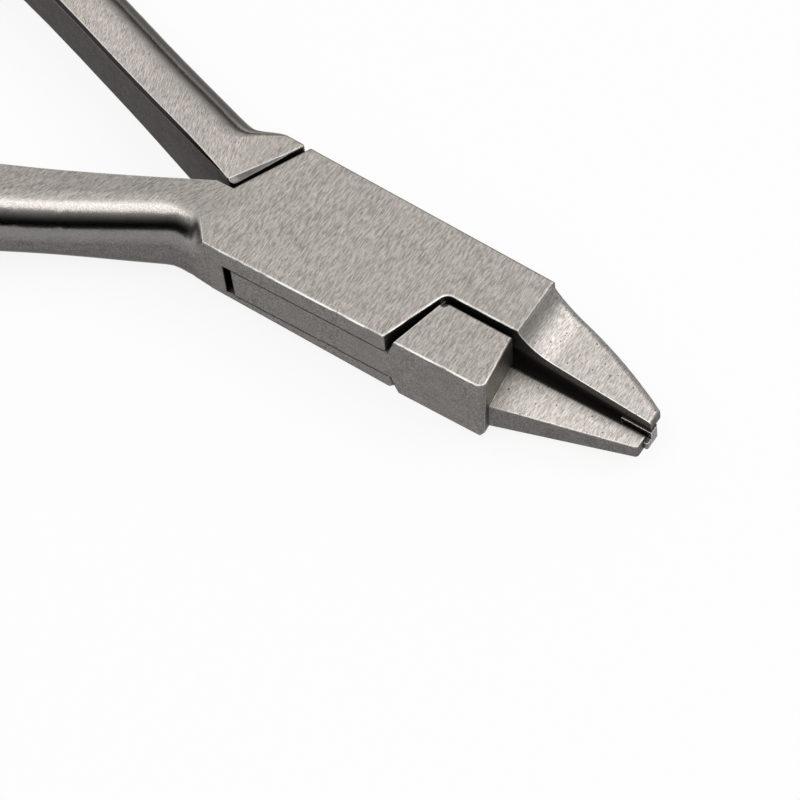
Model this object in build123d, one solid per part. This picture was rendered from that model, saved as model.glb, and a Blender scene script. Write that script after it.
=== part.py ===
from build123d import *
import math
import os

# Orthodontic pliers with a box joint, closed and lying flat. Sizes in millimetres, angles in degrees.
# Origin: where the pivot axis meets the bottom face of the box. +X runs to the tips,
# +Y to the side of the box half's beak, +Z up.
# The box half is the forging with the slotted box. The tongue half passes through the slot.

# Box joint
box_thickness = 9.0
box_half_width = 5.98
box_taper = 0.9
box_front = 16.8
cheek_thickness = 2.4
slide_clearance = 0.08
cheek_front_reach = 9.18
cheek_front_tilt = 20.5
cheek_rear_reach = 9.35
cheek_rear_tilt = 27.4
notch_radius = 0.9
window_radius = 10.25
window_gap = 0.6
sweep_clearance = 0.22
parting_y = 0.2
tongue_setback = 0.45
shoulder_tilt = 15.0
shoulder_front = 16.6
shoulder_skew = 6.3
shoulder_apex_radius = 0.9
shoulder_corner_radius = 0.7
shoulder_bevel = 0.35
shoulder_lean = 0.47
shoulder_foot = 0.75
shoulder_toe_rise = 1.8
shoulder_toe_length = 1.1
joining_length = 1.8
head_tilt = 28.0
head_bevel = 0.5
heel_radius = 0.6
underside_bevel_rear = 1.7
underside_bevel_front = 0.7
underside_bevel_width = 0.9
edge_round = 0.2

# Pivot pin, riveted into both cheeks and ground flush
pin_radius = 2.4
pin_clearance = 0.03
rivet_depth = 0.6

# Beaks
tip_reach = 29.3
far_tip_width = 1.55
far_bulge = 0.55
far_cove_radius = 4.4
far_cove_angle = 60.0
far_tip_top = 5.45
far_tip_bottom = 4.2
far_edge_radius = 0.7
near_tip_setback = 0.25
near_tip_width = 1.5
near_tip_gap = 0.05
near_root_half_width = 4.85
near_root_top = 4.3
near_tip_top = 3.75
near_tip_bottom = 2.2
beak_root_bottom = 1.0
beak_edge_round = 0.12
near_inner_round = 0.35
tip_corner_radius = 0.35

# Hard tip inserts, brazed into pockets in the beaks' inner faces
insert_length = 2.7
insert_proud_end = 0.15
far_insert_depth = 1.0
near_insert_depth = 0.6
near_insert_top = 3.35
insert_bottom = 2.4
insert_corner_radius = 0.2

# Handles
handle_drop = 0.82
handle_round = 3.15
inner_bevel_width = 0.25
inner_bevel_height = 0.55
root_bevel = 0.05
handle_straight = 22.0
handle_bow = 68.0
drop_length = 16.0
root_length = 1.4
bevel_fade = 7.0
end_cap_length = 2.6
box_handle_splay = 23.76
box_handle_bend = 31.0
box_handle_waist = 4.58
box_handle_width = 6.0
box_head_length = 2.25
box_flare_length = 4.0
box_round_fade = 1.3
box_root_round = 2.3
box_grip_y = 0.35
box_crotch_y = -0.5
tongue_handle_splay = 18.2
tongue_handle_bend = 19.0
tongue_handle_waist = 5.35
tongue_handle_width = 5.35
tongue_head_length = 0.6
tongue_flare_length = 3.4
tongue_round_fade = 5.0
heel_y = -0.12

# How many lofted steps a handle has along its root, flare and run and over its domed end, and how near
# to a point the dome goes
root_step_count = 6
flare_step_count = 8
run_step_count = 4
dome_step_count = 5
dome_share = 0.96

slot_bottom = cheek_thickness
slot_top = box_thickness - cheek_thickness
box_taper_slope = math.tan(math.radians(box_taper))


def half_width_at(x):
    """Half the width of the box's plan at x."""
    return box_half_width - x * box_taper_slope


def line_at(reach, angle, y):
    """Where the line at this distance from the pivot, with its normal at this angle, crosses y."""
    a = math.radians(angle)
    return ((reach - math.sin(a) * y) / math.cos(a), y)


def line_meets_side(reach, angle, side):
    """Where that line crosses the box's tapering side, +1 for the far side and -1 for the near one."""
    a = math.radians(angle)
    c, s = math.cos(a), math.sin(a)
    x = (reach - side * s * box_half_width) / (c - side * s * box_taper_slope)
    return (x, side * half_width_at(x))


def reach_of(point):
    """Distance of a plan point from the pivot axis."""
    return math.hypot(*point)


def plate(points, bottom, top):
    """Upright prism over a closed plan polygon."""
    plan = make_face(Polyline(*points, close=True))
    return extrude(Pos(0, 0, bottom) * plan, top - bottom)


def upright_edge(solid, point):
    """The upright edge of a prism nearest to a plan point."""
    return solid.edges().filter_by(Axis.Z).sort_by_distance((*point, box_thickness / 2))[0]


def rim(solid, height, *joined_sides):
    """The edges of a prism at this height, apart from the sides where another form joins on."""
    edges = solid.edges().filter_by_position(Axis.Z, height, height)
    for start, end in joined_sides:
        middle = ((start[0] + end[0]) / 2, (start[1] + end[1]) / 2, height)
        edges.remove(edges.sort_by_distance(middle)[0])
    return edges


def trim(solid, first, second, third, kept):
    """Cuts a solid along the plane through three points, on the side away from the kept point."""
    plane = Plane(Face(Wire.make_polygon([first, second, third])))
    above = plane.to_local_coords(Vector(kept)).Z > 0
    return split(solid, plane, Keep.TOP if above else Keep.BOTTOM)


def smooth(t):
    """Smooth step from 0 to 1."""
    t = min(max(t, 0.0), 1.0)
    return t * t * (3 - 2 * t)


def swell(t):
    """Rises quickly from 0, then levels off at 1."""
    return math.sin(math.pi / 2 * min(t, 1.0))


# Plan of the joint: cheek corners first, then the tongue half's edges, which clear them on every turn
front_normal = -cheek_front_tilt
rear_normal = 180 - cheek_rear_tilt
cheek_near_corner = line_meets_side(cheek_front_reach, front_normal, -1)
notch_apex = line_at(cheek_front_reach, front_normal, parting_y)
cheek_far_corner = line_meets_side(cheek_rear_reach, rear_normal, 1)
crotch = line_at(cheek_rear_reach, rear_normal, box_crotch_y)
grip_start = line_at(cheek_rear_reach, rear_normal, box_grip_y)

shoulder_reach = reach_of(cheek_near_corner) + sweep_clearance
head_reach = reach_of(cheek_far_corner) + sweep_clearance
shoulder_near = line_meets_side(shoulder_reach, -shoulder_tilt, -1)
shoulder_apex = line_at(shoulder_reach, -shoulder_tilt, -tongue_setback)
head_far = line_meets_side(head_reach, 180 - head_tilt, 1)
heel = line_at(head_reach, 180 - head_tilt, heel_y)
tongue_radius = window_radius - window_gap


class Handle:
    """One handle: a D-section swept from the head along a straight run and a bow, by lofted sections."""

    def __init__(self, root, side, splay, bend, waist, width, head_length, flare_length, round_fade,
                 root_bottom_round):
        a = math.radians(splay)
        self.side = side
        self.along = Vector(-math.cos(a), side * math.sin(a))
        self.out = Vector(math.sin(a), side * math.cos(a))
        self.inner = Vector(*root) + self.along * head_length
        self.outer_width = self.width_to_box_side()
        self.outer = self.inner + self.out * self.outer_width
        self.waist = waist
        self.width = width
        self.flare_length = flare_length
        self.round_fade = round_fade
        self.root_bottom_round = root_bottom_round
        self.bend = bend
        self.elbow = self.inner + self.along * handle_straight
        self.bow_centre = self.elbow - self.out * (handle_bow / math.radians(bend))

    def width_to_box_side(self):
        """Width of the head's section, from the inner edge out to the box's side."""
        rise = half_width_at(self.inner.X) - self.side * self.inner.Y
        return rise / (self.side * self.out.Y + self.out.X * box_taper_slope)

    def width_at(self, s):
        """Section width at the distance s: it widens along the handle and flares out to the head."""
        plain = self.waist + (self.width - self.waist) * s / handle_straight
        return plain + (self.outer_width - plain) * (1 - smooth(s / self.flare_length))

    def section_at(self, s, scale=1.0):
        """D-section across the straight run: bevelled edges inside, rounded edges outside."""
        frame = Plane(self.inner + self.along * s, x_dir=self.out, z_dir=self.along * -self.side)
        middle = box_thickness / 2
        half = (middle - handle_drop * smooth(s / drop_length)) * scale
        width = self.width_at(s)
        left = width * (1 - scale) / 2
        right = width - left
        low, high = middle - half, middle + half
        bevelled = swell(s / bevel_fade)
        across = scale * (root_bevel + bevelled * (inner_bevel_width - root_bevel))
        down = scale * (root_bevel + bevelled * (inner_bevel_height - root_bevel))
        rounded = swell(s / self.round_fade)
        over = scale * (edge_round + rounded * (handle_round - edge_round))
        under = scale * (self.root_bottom_round + rounded * (handle_round - self.root_bottom_round))
        outline = [
            Polyline((left + across, low), (left, low + down), (left, high - down), (left + across, high),
                     (right - over, high)),
            CenterArc((right - over, high - over), over, 0, 90),
            Line((right, high - over), (right, low + under)),
            CenterArc((right - under, low + under), under, 270, 90),
            Line((right - under, low), (left + across, low)),
        ]
        return frame * make_face(Curve(outline))

    def stretch(self, start, end, steps):
        """A stretch of the straight run, lofted through evenly spaced sections."""
        return loft([self.section_at(start + (end - start) * k / steps) for k in range(steps + 1)])

    def solid(self):
        """The handle: a root that swells into the head, a straight run, a bow and a domed end."""
        root = self.stretch(0, root_length, root_step_count)
        flare = self.stretch(root_length, bevel_fade, flare_step_count)
        run = self.stretch(bevel_fade, handle_straight, run_step_count)
        bow_axis = Axis(self.bow_centre, (0, 0, self.side))
        bow = revolve(self.section_at(handle_straight), bow_axis, self.bend)
        dome = []
        for k in range(dome_step_count):
            share = k / (dome_step_count - 1) * dome_share
            ahead = Pos(self.along * (end_cap_length * share))
            dome.append(ahead * self.section_at(handle_straight, math.sqrt(1 - share * share)))
        return root + flare + run + bow + loft(dome).rotate(bow_axis, self.bend)


def beak(plan, profile):
    """A beak: its plan outline cut by its side profile."""
    body = extrude(plan, box_thickness)
    return body & extrude(Plane.XZ * profile, box_thickness * 2, both=True)


def make_box():
    """The slotted box of the box half, open to the near front and the far rear."""
    front_far = (box_front, half_width_at(box_front))
    inner, outer = tuple(box_handle.inner)[:2], tuple(box_handle.outer)[:2]
    box = plate([cheek_near_corner, notch_apex, (box_front, parting_y), front_far, cheek_far_corner,
                 crotch, inner, outer], 0, box_thickness)
    box = fillet(upright_edge(box, notch_apex), notch_radius)
    box = fillet(upright_edge(box, cheek_near_corner), edge_round)
    box = fillet(upright_edge(box, cheek_far_corner), edge_round)
    for height in (0, box_thickness):
        box = fillet(rim(box, height, (crotch, inner), (inner, outer)), edge_round)
    rear, front = outer[0], cheek_near_corner[0]
    box = trim(box, (rear, -half_width_at(rear), underside_bevel_rear),
               (front, -half_width_at(front), underside_bevel_front),
               (front, -half_width_at(front) + underside_bevel_width, 0), (0, 0, box_thickness))
    reach = box_front + box_thickness
    slot = Circle(window_radius)
    slot += Pos(-reach / 2, reach / 2) * Rectangle(reach, reach)
    slot += Pos(reach / 2, -reach / 2) * Rectangle(reach, reach)
    return box - extrude(Pos(0, 0, slot_bottom) * slot, slot_top - slot_bottom)


def make_far_beak():
    """The box half's beak: a cove down from the box front, then a straight slope to the tip."""
    inner, outer = parting_y, parting_y + far_tip_width
    root = (box_front, half_width_at(box_front))
    middle = ((root[0] + tip_reach) / 2, (root[1] + outer) / 2 + far_bulge)
    back = box_front - joining_length
    plan = make_face(Curve([
        Line((back, inner), (tip_reach, inner)),
        Line((tip_reach, inner), (tip_reach, outer)),
        ThreePointArc((tip_reach, outer), middle, root),
        Line(root, (back, half_width_at(back))),
        Line((back, half_width_at(back)), (back, inner)),
    ]))
    cove_top = box_thickness - edge_round
    start = math.radians(far_cove_angle)
    centre = (box_front + far_cove_radius * math.sin(start), cove_top + far_cove_radius * math.cos(start))
    drop, run = centre[1] - far_tip_top, tip_reach - centre[0]
    slope = math.atan2(drop, run) - math.asin(far_cove_radius / math.hypot(drop, run))
    cove = CenterArc(centre, far_cove_radius, 270 - far_cove_angle, far_cove_angle - math.degrees(slope))
    undercut = tip_reach - insert_length
    profile = make_face(Curve([
        Line((back, 0), (back, cove_top - joining_length)),
        Line((back, cove_top - joining_length), (box_front, cove_top)),
        cove,
        Line(cove @ 1, (tip_reach, far_tip_top)),
        Line((tip_reach, far_tip_top), (tip_reach, far_tip_bottom)),
        Line((tip_reach, far_tip_bottom), (undercut, insert_bottom)),
        Line((undercut, insert_bottom), (box_front, beak_root_bottom)),
        Line((box_front, beak_root_bottom), (box_front, 0)),
        Line((box_front, 0), (back, 0)),
    ]))
    solid = beak(plan, profile)
    top = far_tip_top + (tip_reach - middle[0]) * math.tan(slope)
    solid = fillet(solid.edges().sort_by_distance((*middle, top))[0], far_edge_radius)
    return fillet(upright_edge(solid, (tip_reach, outer)), tip_corner_radius)


def make_near_beak():
    """The tongue half's beak, stepped down from the shoulder and carried on into it."""
    tip, back = tip_reach - near_tip_setback, shoulder_front - joining_length

    def line(root, end):
        """The two ends of a straight side, from inside the shoulder to the tip."""
        return (back, root + (root - end) * (shoulder_front - back) / (tip - shoulder_front)), (tip, end)

    inner = line(-tongue_setback, -near_tip_gap)
    outer = line(-near_root_half_width, -near_tip_gap - near_tip_width)
    top = line(near_root_top, near_tip_top)
    bottom = line(beak_root_bottom, near_tip_bottom)
    solid = beak(make_face(Polyline(*inner, *outer[::-1], close=True)),
                 make_face(Polyline(*top, *bottom[::-1], close=True)))
    solid = fillet(upright_edge(solid, outer[1]), tip_corner_radius)
    solid = fillet(solid.edges().sort_by_distance((shoulder_front, -tongue_setback, near_root_top))[0],
                   near_inner_round)
    upper = solid.faces().sort_by(Axis.Z)[-1]
    return fillet(upper.edges().sort_by(Axis.Y)[:-1].sort_by(Axis.X)[1:], beak_edge_round)


def make_insert(side, face_y, depth, beak_end, top):
    """A bar insert that stands a little past the beaks' ends; side is the way into the beak."""
    back_y = face_y + side * depth
    start, end = beak_end - insert_length, tip_reach + insert_proud_end
    bar = plate([(start, face_y), (end, face_y), (end, back_y), (start, back_y)], insert_bottom, top)
    return fillet(upright_edge(bar, (end, back_y)), insert_corner_radius)


def make_pin():
    """The pivot pin with its riveted, countersunk ends flush with the cheeks."""
    head = pin_radius + rivet_depth
    profile = Polyline((0, 0), (head, 0), (pin_radius, rivet_depth),
                       (pin_radius, box_thickness - rivet_depth), (head, box_thickness), (0, box_thickness),
                       close=True)
    return revolve(Plane.XZ * make_face(profile), Axis.Z)


def make_tongue():
    """The thin tongue that turns in the slot, with the necks out to the shoulder and the head."""
    reach = box_front
    band = make_face(Polyline((-reach, -half_width_at(-reach)), (reach, -half_width_at(reach)),
                              (reach, half_width_at(reach)), (-reach, half_width_at(-reach)), close=True))
    plan = Circle(tongue_radius) & band
    neck_end = shoulder_near[0] + joining_length
    plan += make_face(Polyline((0, -tongue_setback), (0, -box_half_width),
                               (neck_end, -half_width_at(neck_end)), shoulder_apex, close=True))
    plan += make_face(Polyline((0, tongue_setback), (0, box_half_width), head_far,
                               line_at(head_reach, 180 - head_tilt, tongue_setback), close=True))
    low, high = slot_bottom + slide_clearance, slot_top - slide_clearance
    tongue = extrude(Pos(0, 0, low) * plan, high - low)
    return tongue - Cylinder(pin_radius + pin_clearance, box_thickness * 2)


def make_shoulder():
    """The full-thickness block in front of the cheeks that carries the near beak."""
    skew = math.tan(math.radians(shoulder_skew))
    near_x = shoulder_front + skew * box_half_width
    near = (near_x, -half_width_at(near_x))
    middle, top = (shoulder_front - joining_length, near[1] / 2, box_thickness / 2), box_thickness
    block = plate([shoulder_near, shoulder_apex, (shoulder_front, -tongue_setback), near], 0, top)
    block = fillet(upright_edge(block, shoulder_apex), shoulder_apex_radius)
    block = fillet(upright_edge(block, near), shoulder_corner_radius)
    block = fillet(rim(block, top), edge_round) + make_shoulder_foot()
    under_rim = top - edge_round
    block = trim(block, (*near, under_rim), (shoulder_front, 0, under_rim),
                 (shoulder_front - shoulder_lean, 0, 0), middle)
    block = trim(block, (near_x - shoulder_toe_length, 0, 0), (near_x - shoulder_toe_length, 1, 0),
                 (near_x, 0, shoulder_toe_rise), middle)
    side = -half_width_at(shoulder_front)
    return trim(block, (*shoulder_near, shoulder_bevel), (shoulder_front, side, shoulder_bevel),
                (shoulder_front, side + underside_bevel_width, 0), middle)


def make_shoulder_foot():
    """The sloping foot that the shoulder stands on, at its rear, round the sweep of the cheeks' corners."""
    back, ahead = shoulder_reach - shoulder_foot, shoulder_reach + edge_round
    back_near = line_meets_side(back, -shoulder_tilt, -1)
    foot = plate([back_near, line_at(back, -shoulder_tilt, -tongue_setback),
                  line_at(ahead, -shoulder_tilt, -tongue_setback),
                  line_meets_side(ahead, -shoulder_tilt, -1)], 0, box_thickness)
    foot -= Cylinder(shoulder_reach, box_thickness * 3)
    kept = (*shoulder_near, box_thickness / 2)
    for level, edge in ((slot_top, box_thickness - edge_round), (slot_bottom, 0)):
        foot = trim(foot, (*shoulder_near, edge), (*shoulder_apex, edge), (*back_near, level), kept)
    return foot


def make_head():
    """The full-thickness block behind the cheeks that the tongue half's handle grows from."""
    inner, outer = tuple(tongue_handle.inner)[:2], tuple(tongue_handle.outer)[:2]
    block = plate([heel, inner, outer, head_far], 0, box_thickness)
    block = fillet(upright_edge(block, heel), heel_radius)
    block = fillet(upright_edge(block, head_far), edge_round)
    for height in (0, box_thickness):
        block = fillet(rim(block, height, (heel, inner), (inner, outer)), edge_round)
    set_in = line_at(head_reach + head_bevel, 180 - head_tilt, heel_y)
    return trim(block, (*heel, box_thickness - head_bevel), (*set_in, box_thickness),
                (*head_far, box_thickness), (*outer, 0))


box_handle = Handle(grip_start, -1, box_handle_splay, box_handle_bend, box_handle_waist, box_handle_width,
                    box_head_length, box_flare_length, box_round_fade, box_root_round)
tongue_handle = Handle(heel, 1, tongue_handle_splay, tongue_handle_bend, tongue_handle_waist,
                       tongue_handle_width, tongue_head_length, tongue_flare_length, tongue_round_fade,
                       edge_round)

pivot_pin = make_pin()
box_tip_insert = make_insert(1, 0.0, far_insert_depth, tip_reach, far_tip_bottom)
tongue_tip_insert = make_insert(-1, -near_tip_gap, near_insert_depth, tip_reach - near_tip_setback,
                                near_insert_top)
box_half = make_box() + make_far_beak() + box_handle.solid() - pivot_pin - box_tip_insert
tongue_half = make_tongue() + make_shoulder() + make_head() + make_near_beak() + tongue_handle.solid()
tongue_half = tongue_half - tongue_tip_insert

nodes = {
    "box_half": box_half,
    "tongue_half": tongue_half,
    "pivot_pin": pivot_pin,
    "box_tip_insert": box_tip_insert,
    "tongue_tip_insert": tongue_tip_insert,
}
os.makedirs("parts", exist_ok=True)
for name, solid in nodes.items():
    export_step(solid, f"parts/{name}.step")
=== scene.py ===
import math
from types import SimpleNamespace

import bpy
from mathutils import Matrix, Vector

MM = 0.001

# Camera: a long lens, turned a little about its own axis
CAMERA_AIM = Vector((9.809, -7.356, 2.744)) * MM
CAMERA_DISTANCE = 380 * MM
CAMERA_AZIMUTH = math.radians(40.11)
CAMERA_ELEVATION = math.radians(61.21)
CAMERA_ROLL = math.radians(-7.82)
CAMERA_LENS = 208.96
SENSOR_WIDTH = 36.0
NEAREST_SEEN = 10 * MM

# Studio: a pale floor, a sky that is bright overhead and dim low down on the near side, two soft lamps
FLOOR_SIZE = 3.0
FLOOR_DROP = 0.05 * MM
FLOOR_COLOUR = (0.93, 0.93, 0.92, 1)
FLOOR_GLOW = 0.88
WHITE = (1, 1, 1, 1)
SKY_LIGHT = 1.05
SKY_LEAN = 0.38
LAMP_DISTANCE = 0.7
OVERHEAD_TOWARDS = Vector((-0.2, -0.36, 0.91))
OVERHEAD_SIZE = 0.36
OVERHEAD_POWER = 0.74
FRONT_TOWARDS = Vector((0.52, 0.3, 0.8))
FRONT_SIZE = 0.5
FRONT_POWER = 1.3

# Colours
GROUND_STEEL = (0.435, 0.404, 0.37, 1)
# Blasted walls, darker than the ground faces partly as painted shade
BLASTED_STEEL_AND_SHADE = (0.275, 0.262, 0.253, 1)
# Painted shade: the beak walls are darker than the other walls
BEAK_WALL_PAINTED_SHADE = (0.205, 0.195, 0.188, 1)
# Bright rubbed edges, also a painted highlight where they lean to the near side
WORN_EDGE_AND_HIGHLIGHT = (0.95, 0.93, 0.9, 1)
GLANCE_TINT = (0.5, 0.49, 0.48, 1)
HARD_METAL = (0.16, 0.15, 0.14, 1)
# Painted shade: near black on the handles' inner bevels, standing in for the dark reflection of the other
# handle
BEVEL_PAINTED_SHADE = (0.04, 0.036, 0.033, 1)
# Near black for soiled gaps and for painted shade in gaps, inner corners and on the beaks
GRIME_AND_PAINTED_SHADE = (0.016, 0.012, 0.009, 1)
PIT_SHADE = (0.05, 0.042, 0.035, 1)

# How strongly rubbed edges with painted highlights, pits, and soiling with painted shade cover what lies
# under them
WEAR_AND_HIGHLIGHT_SHARE = 0.9
PIT_SHARE = 0.85
DIRT_AND_SHADE_SHARE = 0.9
INSERT_WORN_SHARE = 0.6
INSERT_DIRT_AND_SHADE_SHARE = 0.8

# How far the grain darkens and lightens each surface, and the painted shade that darkens walls as they lean
# down and lightens them a little as they lean up
FACE_GRAIN = (0.63, 1.36)
WALL_GRAIN = (0.62, 1.38)
ROUND_GRAIN = (0.85, 1.15)
INSERT_GRAIN = (0.8, 1.15)
WALL_LEAN_PAINTED_SHADE = (0.72, 1.05)

# Roughness of each surface, from the dark of its grain to the light
FLAT_ROUGH = (0.44, 0.34)
WALL_ROUGH = (0.5, 0.42)
ROUND_ROUGH = (0.22, 0.17)
INSERT_ROUGH = (0.38, 0.28)
WORN_ROUGH = 0.5

# Relief of the grain
STEEL_RELIEF = 0.25
STEEL_RELIEF_DEPTH = 0.012 * MM
INSERT_RELIEF = 0.2
INSERT_RELIEF_DEPTH = 0.01 * MM

# Make-up of the grain
SPECKLE_SHARE = 0.3
SPECKLE_FINENESS = 0.9
CLOUD_SHARE = 0.05
CLOUD_FINENESS = 0.04
BLOTCH_SHARE = 0.15
BLOTCH_FINENESS = 0.11
TONE_RANGE = (0.34, 0.66)
INSERT_FINENESS = 9000.0

# Where the finishes change along the pliers
HANDLE_START = -9 * MM
HANDLE_FULL = -13 * MM
BEAK_START = 16.4 * MM
BEAK_FULL = 17.4 * MM
TIP = 29 * MM
RIVET_RADIUS = 3.0 * MM
BOX_REACH = 10 * MM
BOX_MIDDLE = 4.5 * MM
SHOULDER_CORNER = Vector((10.2, -0.6, 9.0)) * MM

# Surfaces told apart by how much they face up or down: 1 on a flat top or bottom, 0 on an upright wall
HEAD_FACE = (0.35, 0.8)
HANDLE_FACE = (0.7, 0.96)
FLAT_FACE = (0.93, 0.985)
HANDLE_ROUND = (0.02, 0.3)
HANDLE_BEVEL = (0.15, 0.35)
BEVEL_INWARD = (0.5, 0.7)
SEAM_WALL = (0.5, 0.3)
WALL_LEAN = (-0.4, 0.35)

# Rubbed edges: the share left on walls, and how far they turn the light; the painted highlight is kept to
# edges that lean to the near side
WORN_TOP = (0.3, 0.6)
WORN_ON_WALLS = 0.15
HIGHLIGHT_LEAN = (0.3, 0.0)
WORN_TURN = 0.2
SEAM_FULL = 0.4

# The rubbed rim: the rounded edges of the head that lean to the near side, painted bright in patches, a
# painted highlight with some rubbing
RIM_BELOW_FLAT = (0.985, 0.93)
RIM_ABOVE_WALL = (0.3, 0.55)
RIM_LEAN = (-0.1, -0.25)
RIM_SIDE = (1.5 * MM, 0.0)
RIM_PATCHES = 450.0
RIM_PATCH_EDGE = (0.36, 0.62)
RIM_STRENGTH = (0.25, 0.9)
RIM_LIFT = 0.75
UPWARD = (0, 0, 1)

# Painted shade on the beaks: below a sloping line on the far one, beside the far one on the near one
FAR_SHADE_SLOPE = 0.123
FAR_SHADE_HEIGHT = (6.3 * MM, 5.7 * MM)
FAR_SHADE_WALL = (-0.5, -0.8)
FAR_SHADE_STRENGTH = (0.4, 1.0)
NEAR_SHADE_EDGE = (-1.4 * MM, -0.7 * MM)
NEAR_SHADE_FULL = 0.4 * MM
NEAR_SHADE_UNEVEN = (-0.4 * MM, 0.4 * MM)
NEAR_SHADE_FINENESS = 2500.0
NEAR_SHADE_FACE = (0.5, 0.8)
CORNER_SHADE = (0.5 * MM, 0.34 * MM)


class Tree:
    """A node tree with short calls to add and join nodes."""

    def __init__(self, tree):
        self.tree = tree

    def add(self, kind, inputs=None, **settings):
        """Adds a node. Inputs are set by name or number: a socket is linked, anything else is its value."""
        made = self.tree.nodes.new(kind)
        for name, value in settings.items():
            setattr(made, name, value)
        for name, value in (inputs or {}).items():
            if isinstance(value, bpy.types.NodeSocket):
                self.tree.links.new(value, made.inputs[name])
            else:
                made.inputs[name].default_value = value
        return made

    def give(self, value, output):
        """Joins a value to an output of the tree."""
        self.tree.links.new(value, output)

    def effect(self, group, values=None):
        """Places a shared effect with its own values; returns its outputs."""
        return self.add("ShaderNodeGroup", values, node_tree=group).outputs

    def maths(self, operation, first, second=0.0, clamp=False):
        """One step of arithmetic."""
        step = self.add("ShaderNodeMath", {0: first, 1: second}, operation=operation, use_clamp=clamp)
        return step.outputs[0]

    def times(self, first, *others):
        """The product of several values."""
        for other in others:
            first = self.maths("MULTIPLY", first, other)
        return first

    def most(self, first, *others):
        """The largest of several values."""
        for other in others:
            first = self.maths("MAXIMUM", first, other)
        return first

    def without(self, share):
        """What a share leaves of the whole."""
        return self.maths("SUBTRACT", 1.0, share)

    def between(self, value, low, high):
        """Smooth 0 to 1 as value goes from low to high."""
        step = self.add("ShaderNodeMapRange", {"Value": value, "From Min": low, "From Max": high},
                        interpolation_type="SMOOTHSTEP")
        return step.outputs["Result"]

    def spread(self, value, low, high):
        """A 0 to 1 value spread from low to high."""
        step = self.add("ShaderNodeMapRange", {"Value": value, "To Min": low, "To Max": high})
        return step.outputs["Result"]

    def blend(self, share, first, second):
        """Mix of two plain values."""
        return self.add("ShaderNodeMix", {"Factor": share, 2: first, 3: second}).outputs[0]

    def lean(self, share, first, second):
        """Mix of two directions."""
        return self.add("ShaderNodeMix", {"Factor": share, 4: first, 5: second},
                        data_type="VECTOR").outputs[1]

    def mix(self, share, first, second, way="MIX"):
        """Mix of two colours."""
        return self.add("ShaderNodeMix", {"Factor": share, 6: first, 7: second},
                        data_type="RGBA", blend_type=way).outputs[2]

    def measure(self, operation, first, second):
        """One number from two vectors."""
        step = self.add("ShaderNodeVectorMath", {0: first, 1: second}, operation=operation)
        return step.outputs["Value"]

    def noise(self, place, scale, detail):
        """Plain noise."""
        step = self.add("ShaderNodeTexNoise", {"Vector": place, "Scale": scale, "Detail": detail})
        return step.outputs["Fac"]

    def place(self):
        """The place on the object."""
        return self.add("ShaderNodeTexCoord").outputs["Object"]

    def own_way(self, vector):
        """A direction in the object's own axes, so that it turns with the object."""
        return self.add("ShaderNodeVectorTransform", {"Vector": vector}, vector_type="NORMAL",
                        convert_from="WORLD", convert_to="OBJECT").outputs[0]

    def split(self, vector):
        """The three parts of a vector."""
        return self.add("ShaderNodeSeparateXYZ", {"Vector": vector}).outputs


def new_group(name, inputs, outputs):
    """An empty shader group: returns it with its tree, its input sockets and its output sockets."""
    group = bpy.data.node_groups.new(name, "ShaderNodeTree")
    for label, value in inputs.items():
        socket = group.interface.new_socket(label, in_out="INPUT", socket_type="NodeSocketFloat")
        socket.default_value = value
    for label, kind in outputs.items():
        group.interface.new_socket(label, in_out="OUTPUT", socket_type=kind)
    tree = Tree(group)
    return group, tree, tree.add("NodeGroupInput").outputs, tree.add("NodeGroupOutput").inputs


def new_material(name):
    """An empty material and its tree."""
    material = bpy.data.materials.new(name)
    material.use_nodes = True
    material.node_tree.nodes.clear()
    return material, Tree(material.node_tree)


def grinding_lines_group():
    """Fine short lines left by a grinding belt, turned in plan, with a speckle over them."""
    group, t, given, out = new_group(
        "grinding_lines", {"Turn": 0.0, "Fineness": 13500.0, "Length": 0.13},
        {"Height": "NodeSocketFloat", "Tone": "NodeSocketFloat"})
    place = t.place()
    turned = t.add("ShaderNodeVectorRotate", {"Vector": place, "Angle": given["Turn"]},
                   rotation_type="Z_AXIS").outputs[0]
    stretch = t.add("ShaderNodeCombineXYZ", {"X": 1.0, "Y": given["Length"], "Z": 0.3}).outputs[0]
    drawn = t.add("ShaderNodeVectorMath", {0: turned, 1: stretch}, operation="MULTIPLY").outputs[0]
    lines = t.noise(drawn, given["Fineness"], 2.0)
    speckle = t.noise(place, t.times(given["Fineness"], SPECKLE_FINENESS), 1.0)
    cloud = t.noise(place, t.times(given["Fineness"], CLOUD_FINENESS), 2.0)
    height = t.blend(SPECKLE_SHARE, lines, speckle)
    t.give(height, out["Height"])
    t.give(t.between(t.blend(CLOUD_SHARE, height, cloud), *TONE_RANGE), out["Tone"])
    return group


def blasted_grain_group():
    """The mottled grain of a blasted or tumbled wall."""
    group, t, given, out = new_group(
        "blasted_grain", {"Fineness": 9000.0}, {"Height": "NodeSocketFloat", "Tone": "NodeSocketFloat"})
    place = t.place()
    grain = t.noise(place, given["Fineness"], 3.0)
    blotch = t.noise(place, t.times(given["Fineness"], BLOTCH_FINENESS), 2.0)
    t.give(grain, out["Height"])
    t.give(t.between(t.blend(BLOTCH_SHARE, grain, blotch), *TONE_RANGE), out["Tone"])
    return group


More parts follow.
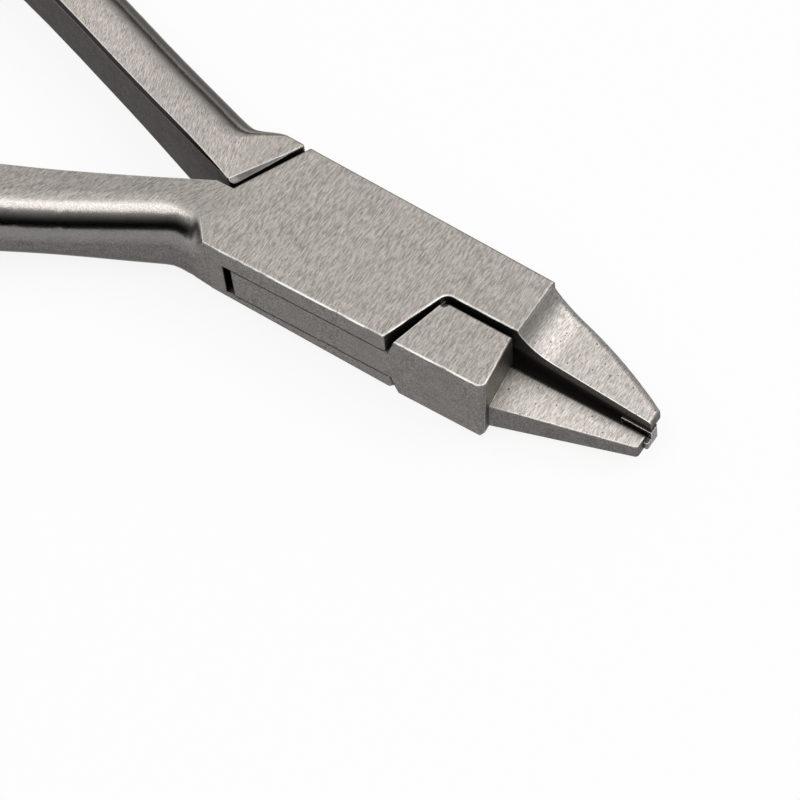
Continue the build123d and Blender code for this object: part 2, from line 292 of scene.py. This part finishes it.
def edge_sheen_and_wear_group():
    """Edges rubbed bright: a mask along them, broken by nicks, and the normal of the rubbed edge. The mask
    also places painted highlights.
    """
    group, t, given, out = new_group(
        "edge_wear_and_highlight", {"Width": 0.15 * MM, "Nicks": 1400.0},
        {"Mask": "NodeSocketFloat", "Normal": "NodeSocketVector"})
    rubbed = t.add("ShaderNodeBevel", {"Radius": given["Width"]}, samples=8).outputs[0]
    true = t.add("ShaderNodeNewGeometry").outputs["Normal"]
    turned = t.maths("SUBTRACT", 1.0, t.measure("DOT_PRODUCT", rubbed, true), clamp=True)
    whole = t.between(t.noise(t.place(), given["Nicks"], 3.0), 0.26, 0.42)
    t.give(t.times(t.between(turned, 0.001, 0.014), whole), out["Mask"])
    t.give(rubbed, out["Normal"])
    return group


def gap_shade_and_grime_group():
    """Gaps and inner corners darkened by occlusion, part soiling and part painted shade, and how far a place
    lies open.
    """
    group, t, given, out = new_group(
        "gap_grime_and_shade", {"Reach": 1.8 * MM}, {"Mask": "NodeSocketFloat", "Open": "NodeSocketFloat"})
    light = t.add("ShaderNodeAmbientOcclusion", {"Distance": given["Reach"]}, samples=12).outputs["AO"]
    uneven = t.spread(t.noise(t.place(), 1500.0, 3.0), -0.12, 0.12)
    t.give(t.between(t.maths("ADD", light, uneven), 0.55, 0.1), out["Mask"])
    t.give(t.between(light, 0.5, 0.75), out["Open"])
    return group


def pits_group():
    """Scattered tiny pits."""
    group, t, given, out = new_group("pits", {"Closeness": 2000.0}, {"Mask": "NodeSocketFloat"})
    cells = t.add("ShaderNodeTexVoronoi", {"Vector": t.place(), "Scale": given["Closeness"]}).outputs
    chosen = t.between(t.split(cells["Color"])["X"], 0.66, 0.7)
    t.give(t.times(t.between(cells["Distance"], 0.2, 0.1), chosen), out["Mask"])
    return group


def find_surfaces(t, inward):
    """Where a point lies and which way it faces, with a 0 to 1 share for each kind of surface."""
    place = t.split(t.place())
    normal = t.add("ShaderNodeNewGeometry").outputs["Normal"]
    own_normal = t.own_way(normal)
    ways = t.split(own_normal)
    facing = t.maths("ABSOLUTE", ways["Z"])

    on_handle = t.between(place["X"], HANDLE_START, HANDLE_FULL)
    on_beak = t.between(place["X"], BEAK_START, BEAK_FULL)
    squares = t.maths("ADD", t.times(place["X"], place["X"]), t.times(place["Y"], place["Y"]))
    off_rivet = t.between(t.maths("SQRT", squares), RIVET_RADIUS * 1.05, RIVET_RADIUS * 1.2)

    on_face = t.blend(on_handle, t.between(facing, *HEAD_FACE), t.between(facing, *HANDLE_FACE))
    on_flat = t.between(facing, *FLAT_FACE)
    on_ground = t.blend(on_handle, on_face, on_flat)
    on_round = t.times(on_handle, t.without(on_flat), t.between(facing, *HANDLE_ROUND))
    turned_in = t.measure("DOT_PRODUCT", own_normal, inward)
    on_bevel = t.times(on_handle, t.between(turned_in, *BEVEL_INWARD), t.between(facing, *HANDLE_BEVEL))

    along = t.maths("ABSOLUTE", place["X"])
    from_middle = t.maths("ABSOLUTE", t.maths("SUBTRACT", place["Z"], BOX_MIDDLE))
    on_seam = t.times(t.between(along, BOX_REACH * 1.05, BOX_REACH * 0.95),
                      t.between(from_middle, BOX_MIDDLE * 0.94, BOX_MIDDLE * 0.88),
                      t.between(facing, *SEAM_WALL))
    return SimpleNamespace(
        place=place, normal=normal, ways=ways, facing=facing, on_handle=on_handle, on_beak=on_beak,
        off_rivet=off_rivet, on_face=on_face, on_flat=on_flat, on_ground=on_ground, on_round=on_round,
        on_bevel=on_bevel, on_seam=on_seam)


def worn_and_highlit_edges(t, at, wear_and_sheen, gaps):
    """Edges rubbed bright, mostly on top, kept to where they lean to the near side: rubbing and a painted
    highlight.
    """
    on_top = t.spread(t.between(at.facing, *WORN_TOP), WORN_ON_WALLS, 1.0)
    near = t.between(t.split(t.own_way(wear_and_sheen["Normal"]))["Y"], *HIGHLIGHT_LEAN)
    return t.times(wear_and_sheen["Mask"], at.off_rivet, gaps["Open"], on_top, t.without(at.on_seam), near)


def rubbed_rim_highlight(t, at, gaps):
    """Painted highlight on the rounded near edges of the box and the shoulder, bright in patches like
    rubbing.
    """
    rounded = t.times(t.between(at.facing, *RIM_BELOW_FLAT), t.between(at.facing, *RIM_ABOVE_WALL))
    near = t.times(t.between(at.ways["Y"], *RIM_LEAN), t.between(at.place["Y"], *RIM_SIDE))
    on_head = t.without(t.most(at.on_handle, at.on_beak))
    patches = t.between(t.noise(t.place(), RIM_PATCHES, 3.0), *RIM_PATCH_EDGE)
    return t.times(rounded, near, on_head, gaps["Open"], t.spread(patches, *RIM_STRENGTH))


def far_beak_painted_shade(t, at):
    """Painted shade: the far beak's inner wall is painted black, up to a rubbed strip under its top edge."""
    along = t.between(at.place["X"], BEAK_START * 0.8, BEAK_START)
    slope = t.times(t.maths("SUBTRACT", at.place["X"], BEAK_START), FAR_SHADE_SLOPE)
    low = t.between(t.maths("ADD", at.place["Z"], slope), *FAR_SHADE_HEIGHT)
    on_wall = t.between(at.ways["Y"], *FAR_SHADE_WALL)
    return t.times(along, on_wall, t.spread(low, *FAR_SHADE_STRENGTH))


def near_beak_painted_shade(t, at):
    """Painted shade: the near beak is dark beside the far one, less so towards the tip; so is the shoulder's
    rear corner.
    """
    along = t.between(at.place["X"], BEAK_START, BEAK_FULL)
    edge = t.spread(t.between(at.place["X"], BEAK_START, TIP), *NEAR_SHADE_EDGE)
    uneven = t.spread(t.noise(t.place(), NEAR_SHADE_FINENESS, 3.0), *NEAR_SHADE_UNEVEN)
    beside = t.between(t.maths("ADD", at.place["Y"], uneven), edge, NEAR_SHADE_FULL)
    on_top = t.between(t.most(at.ways["Z"], at.ways["X"]), *NEAR_SHADE_FACE)
    from_corner = t.measure("DISTANCE", t.place(), SHOULDER_CORNER)
    return t.most(t.times(along, on_top, beside), t.between(from_corner, *CORNER_SHADE))


# What differs between the halves: the way the handle points in plan, its inner side, the colours of its face
# and its walls and of the beak's face, which are lit and shaded copies of one steel (painted light and
# painted shade), and the painted shade on the beak
BOX_TURN = math.radians(23.76)
BOX_HALF = SimpleNamespace(
    turn=BOX_TURN,
    inward=(-math.sin(BOX_TURN), math.cos(BOX_TURN), 0),
    handle_face_painted_light=(0.37, 0.345, 0.32, 1),
    handle_wall_painted_shade=(0.205, 0.195, 0.188, 1),
    beak_face_painted_light=(0.5, 0.467, 0.435, 1),
    beak_painted_shade=far_beak_painted_shade)
TONGUE_TURN = math.radians(-18.2)
TONGUE_HALF = SimpleNamespace(
    turn=TONGUE_TURN,
    inward=(math.sin(TONGUE_TURN), -math.cos(TONGUE_TURN), 0),
    handle_face_painted_light=(0.55, 0.51, 0.47, 1),
    handle_wall_painted_shade=(0.115, 0.11, 0.104, 1),
    beak_face_painted_light=(0.65, 0.605, 0.56, 1),
    beak_painted_shade=near_beak_painted_shade)


def steel(name, groups, half):
    """Satin steel: ground faces, smooth handle rounds, blasted walls, rubbed edges with painted highlights,
    soiled gaps with painted shade, painted shade on the beaks, the inner bevels and walls that lean down, and
    painted light and shade in each half's colours.
    """
    material, t = new_material(name)
    at = find_surfaces(t, half.inward)
    box_lines = t.effect(groups["grinding_lines"])
    handle_lines = t.effect(groups["grinding_lines"], {"Turn": half.turn})
    blasted = t.effect(groups["blasted_grain"])
    wear_and_sheen = t.effect(groups["edge_wear_and_highlight"])
    gaps = t.effect(groups["gap_grime_and_shade"])

    def finish(output):
        """One value of the surface, from whichever finish lies there."""
        lines = t.blend(at.on_handle, box_lines[output], handle_lines[output])
        return t.blend(at.on_ground, blasted[output], lines)

    tone = finish("Tone")
    rim = rubbed_rim_highlight(t, at, gaps)
    # rubbed edges and the rim: part rubbing, part painted highlight on the near side
    wear_and_highlight = t.most(worn_and_highlit_edges(t, at, wear_and_sheen, gaps), rim)
    pits = t.times(t.effect(groups["pits"])["Mask"], at.on_beak)
    seam = t.times(t.between(wear_and_sheen["Mask"], 0.0, SEAM_FULL), at.on_seam)
    dirt_and_shade = t.most(gaps["Mask"], half.beak_painted_shade(t, at), seam)

    # Painted light and shade: each half's handle and beak colours are lit and shaded copies of the steel
    face = t.mix(at.on_beak, t.mix(at.on_handle, GROUND_STEEL, half.handle_face_painted_light), half.beak_face_painted_light)
    wall = t.mix(at.on_beak, t.mix(at.on_handle, BLASTED_STEEL_AND_SHADE, half.handle_wall_painted_shade), BEAK_WALL_PAINTED_SHADE)
    # Painted shade: walls darker as they lean down towards the floor
    lean_painted_shade = t.spread(t.between(at.ways["Z"], *WALL_LEAN), *WALL_LEAN_PAINTED_SHADE)
    shade = t.blend(at.on_face, lean_painted_shade, 1.0)
    grain = t.blend(at.on_ground, t.spread(tone, *WALL_GRAIN), t.spread(tone, *FACE_GRAIN))
    grain = t.blend(at.on_round, grain, t.spread(tone, *ROUND_GRAIN))
    colour = t.mix(at.on_face, wall, face)
    colour = t.mix(1.0, colour, t.times(shade, grain), "MULTIPLY")
    # painted shade on the handles' inner bevels
    colour = t.mix(at.on_bevel, colour, BEVEL_PAINTED_SHADE)
    # painted highlight with rubbing on the edges
    colour = t.mix(t.times(wear_and_highlight, WEAR_AND_HIGHLIGHT_SHARE), colour, WORN_EDGE_AND_HIGHLIGHT)
    colour = t.mix(t.times(pits, PIT_SHARE), colour, PIT_SHADE)
    # soiling and painted shade in gaps and on the beaks, and the dark seams
    colour = t.mix(t.times(dirt_and_shade, DIRT_AND_SHADE_SHARE), colour, GRIME_AND_PAINTED_SHADE)

    rough = t.blend(at.on_flat, t.spread(tone, *WALL_ROUGH), t.spread(tone, *FLAT_ROUGH))
    rough = t.blend(at.on_round, rough, t.spread(tone, *ROUND_ROUGH))
    rough = t.blend(wear_and_highlight, rough, WORN_ROUGH)
    rubbed = t.lean(t.times(at.off_rivet, WORN_TURN), at.normal, wear_and_sheen["Normal"])
    rubbed = t.lean(t.times(rim, RIM_LIFT), rubbed, UPWARD)
    bump = t.add("ShaderNodeBump", {"Height": finish("Height"), "Normal": rubbed,
                                    "Strength": STEEL_RELIEF, "Distance": STEEL_RELIEF_DEPTH})
    shader = t.add("ShaderNodeBsdfPrincipled", {
        "Base Color": colour, "Metallic": 1.0, "Roughness": rough, "Specular Tint": GLANCE_TINT,
        "Normal": bump.outputs[0]})
    t.add("ShaderNodeOutputMaterial", {"Surface": shader.outputs[0]})
    return material


def hard_metal(groups):
    """The fine ground hard metal of the tip inserts."""
    material, t = new_material("hard_insert")
    lines = t.effect(groups["grinding_lines"], {"Turn": math.pi / 2, "Fineness": INSERT_FINENESS})
    wear_and_sheen = t.effect(groups["edge_wear_and_highlight"], {"Width": 0.06 * MM})
    insert_grime_and_shade = t.effect(groups["gap_grime_and_shade"], {"Reach": 0.8 * MM})["Mask"]
    colour = t.mix(1.0, HARD_METAL, t.spread(lines["Tone"], *INSERT_GRAIN), "MULTIPLY")
    colour = t.mix(t.times(wear_and_sheen["Mask"], INSERT_WORN_SHARE), colour, WORN_EDGE_AND_HIGHLIGHT)
    # soiling and painted shade in the insert's gaps
    colour = t.mix(t.times(insert_grime_and_shade, INSERT_DIRT_AND_SHADE_SHARE), colour, GRIME_AND_PAINTED_SHADE)
    bump = t.add("ShaderNodeBump", {"Height": lines["Height"], "Normal": wear_and_sheen["Normal"],
                                    "Strength": INSERT_RELIEF, "Distance": INSERT_RELIEF_DEPTH})
    shader = t.add("ShaderNodeBsdfPrincipled", {
        "Base Color": colour, "Metallic": 1.0, "Roughness": t.spread(lines["Tone"], *INSERT_ROUGH),
        "Normal": bump.outputs[0]})
    t.add("ShaderNodeOutputMaterial", {"Surface": shader.outputs[0]})
    return material


def dress(node, material):
    """Gives a CAD node its finish."""
    for slot in node.material_slots:
        slot.material = material


def make_floor():
    """The plain pale floor that the pliers lie on."""
    half = FLOOR_SIZE / 2
    corners = [(-half, -half, 0), (half, -half, 0), (half, half, 0), (-half, half, 0)]
    mesh = bpy.data.meshes.new("floor")
    mesh.from_pydata(corners, [], [(0, 1, 2, 3)])
    floor = bpy.data.objects.new("floor", mesh)
    bpy.context.scene.collection.objects.link(floor)
    floor.location.z = -FLOOR_DROP
    material, t = new_material("floor")
    paint = t.add("ShaderNodeBsdfDiffuse", {"Color": FLOOR_COLOUR})
    glow = t.add("ShaderNodeEmission", {"Color": WHITE, "Strength": 1.0})
    path = t.add("ShaderNodeLightPath").outputs
    seen = t.most(path["Is Camera Ray"], path["Is Glossy Ray"], path["Is Transmission Ray"])
    surface = t.add("ShaderNodeMixShader", {0: t.times(seen, FLOOR_GLOW), 1: paint.outputs[0],
                                            2: glow.outputs[0]})
    t.add("ShaderNodeOutputMaterial", {"Surface": surface.outputs[0]})
    mesh.materials.append(material)


def make_lamp(name, towards, size, power):
    """A square soft lamp that looks at the pliers."""
    lamp = bpy.data.lights.new(name, "AREA")
    lamp.energy = power
    lamp.size = size
    holder = bpy.data.objects.new(name, lamp)
    bpy.context.scene.collection.objects.link(holder)
    way = towards.normalized()
    holder.location = way * LAMP_DISTANCE
    holder.rotation_euler = way.to_track_quat("Z", "Y").to_euler()


def make_sky():
    """Soft light from above that falls off towards the horizon, much sooner on the near side."""
    world = bpy.data.worlds.new("studio")
    bpy.context.scene.world = world
    world.use_nodes = True
    world.node_tree.nodes.clear()
    t = Tree(world.node_tree)
    way = t.split(t.add("ShaderNodeTexCoord").outputs["Generated"])
    near = t.maths("MINIMUM", way["Y"], 0.0)
    height = t.maths("ADD", way["Z"], t.times(near, SKY_LEAN))
    strength = t.times(t.between(height, 0.0, 1.0), SKY_LIGHT)
    sky = t.add("ShaderNodeBackground", {"Color": WHITE, "Strength": strength})
    t.add("ShaderNodeOutputWorld", {"Surface": sky.outputs[0]})


def make_camera():
    """The camera at the photograph's angle."""
    a, e = CAMERA_AZIMUTH, CAMERA_ELEVATION
    level = Vector((math.cos(a), math.sin(a), 0))
    back = Vector((math.sin(a) * math.cos(e), -math.cos(a) * math.cos(e), math.sin(e)))
    tall = back.cross(level)
    right = level * math.cos(CAMERA_ROLL) + tall * math.sin(CAMERA_ROLL)
    up = back.cross(right)
    lens = bpy.data.cameras.new("camera")
    lens.lens = CAMERA_LENS
    lens.sensor_width = SENSOR_WIDTH
    lens.clip_start = NEAREST_SEEN
    camera = bpy.data.objects.new("camera", lens)
    bpy.context.scene.collection.objects.link(camera)
    turn = Matrix((right, up, back)).transposed().to_4x4()
    camera.matrix_world = Matrix.Translation(CAMERA_AIM + back * CAMERA_DISTANCE) @ turn
    bpy.context.scene.camera = camera


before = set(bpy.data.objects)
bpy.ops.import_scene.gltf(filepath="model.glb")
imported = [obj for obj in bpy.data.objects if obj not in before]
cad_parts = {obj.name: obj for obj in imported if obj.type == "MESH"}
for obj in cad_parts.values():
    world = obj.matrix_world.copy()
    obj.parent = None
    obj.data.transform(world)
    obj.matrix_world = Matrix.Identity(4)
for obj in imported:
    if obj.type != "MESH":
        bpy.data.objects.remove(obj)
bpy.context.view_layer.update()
bpy.context.scene.view_settings.view_transform = "Standard"

groups = {
    "grinding_lines": grinding_lines_group(),
    "blasted_grain": blasted_grain_group(),
    "edge_wear_and_highlight": edge_sheen_and_wear_group(),
    "gap_grime_and_shade": gap_shade_and_grime_group(),
    "pits": pits_group(),
}
box_steel = steel("box_half_steel", groups, BOX_HALF)
tongue_steel = steel("tongue_half_steel", groups, TONGUE_HALF)
insert_metal = hard_metal(groups)
finishes = {
    "box_half": box_steel,
    "pivot_pin": box_steel,
    "tongue_half": tongue_steel,
    "box_tip_insert": insert_metal,
    "tongue_tip_insert": insert_metal,
}
for node_name, finish_material in finishes.items():
    dress(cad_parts[node_name], finish_material)

make_floor()
make_sky()
make_lamp("overhead_lamp", OVERHEAD_TOWARDS, OVERHEAD_SIZE, OVERHEAD_POWER)
make_lamp("front_lamp", FRONT_TOWARDS, FRONT_SIZE, FRONT_POWER)
make_camera()
